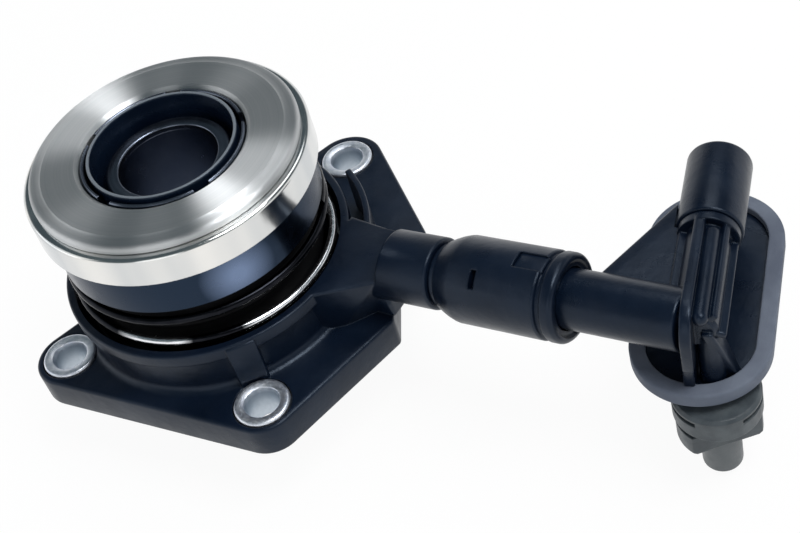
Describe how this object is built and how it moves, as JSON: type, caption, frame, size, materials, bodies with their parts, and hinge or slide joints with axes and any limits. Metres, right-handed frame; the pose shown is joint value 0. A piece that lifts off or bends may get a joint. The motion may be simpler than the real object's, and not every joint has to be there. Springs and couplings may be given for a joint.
{
  "type": "concentric slave cylinder",
  "caption": "Hydraulic clutch release bearing on a round plastic housing with a bolt flange, a side inlet with quick connector, and a hydraulic adapter with rubber grommet.",
  "frame": {"origin": "on the shaft axis at the flange's back face", "axes": "+Z along the shaft towards the release bearing, +X the way the inlet leaves the housing"},
  "size_m": [0.1553, 0.0953, 0.0669],
  "materials": {
    "black_plastic": "glass-filled black plastic with a soft sheen",
    "adapter_plastic": "smooth black plastic",
    "polished_steel": "turned and polished",
    "ground_steel": "fine ground",
    "dark_steel": "dark blued steel",
    "zinc_plate": "zinc plated",
    "spring_steel": "drawn wire",
    "grey_rubber": "grey rubber",
    "black_rubber": "black rubber",
    "seal_rubber": "black seal rubber",
    "cage_plastic": "dark moulded plastic",
    "bleed_plastic": "warm grey plastic"
  },
  "bodies": {
    "base": {"housing": "black_plastic", "guide_sleeve": "ground_steel", "sleeve_o_ring": "seal_rubber", "mount_bush_1": "zinc_plate", "mount_bush_2": "zinc_plate", "mount_bush_3": "zinc_plate", "preload_spring": "spring_steel", "dust_boot": "black_rubber", "connector_body": "black_plastic", "connector_clip": "spring_steel", "connector_o_ring": "seal_rubber", "adapter": "adapter_plastic", "line_port": "adapter_plastic", "grommet": "grey_rubber", "bleed_body": "bleed_plastic"},
    "slider": {"piston": "black_plastic", "piston_seal": "seal_rubber", "bearing_carrier": "dark_steel", "fixed_race": "ground_steel", "bearing_shell": "polished_steel", "clip_ring": "ground_steel"},
    "contact": {"contact_ring": "polished_steel"},
    "balls": {"ball_cage": "cage_plastic", "ball_01": "polished_steel", "ball_02": "polished_steel", "ball_03": "polished_steel", "ball_04": "polished_steel", "ball_05": "polished_steel", "ball_06": "polished_steel", "ball_07": "polished_steel", "ball_08": "polished_steel", "ball_09": "polished_steel", "ball_10": "polished_steel", "ball_11": "polished_steel", "ball_12": "polished_steel", "ball_13": "polished_steel", "ball_14": "polished_steel"},
    "bleed": {"bleed_screw": "bleed_plastic"}
  },
  "joints": [
    {"name": "release_stroke", "type": "slide", "parent": "base", "child": "slider", "axis": [0, 0, -1], "range_m": [0, 0.0085], "stiffness_N_per_m": 6000, "springref_m": -0.0006, "deforming": ["preload_spring", "dust_boot"]},
    {"name": "contact_spin", "type": "hinge", "parent": "slider", "child": "contact", "pos_m": [0, 0, 0.045], "axis": [0, 0, 1], "continuous": true},
    {"name": "cage_spin", "type": "hinge", "parent": "slider", "child": "balls", "pos_m": [0, 0, 0.045], "axis": [0, 0, 1], "continuous": true},
    {"name": "bleed_turn", "type": "hinge", "parent": "base", "child": "bleed", "pos_m": [0.11337, 0.01045, -0.006], "axis": [0, 0, 1], "range_deg": [0, 360]}
  ],
  "couplings": [
    {"joint": "cage_spin", "follows": "contact_spin", "ratio": 0.463}
  ]
}
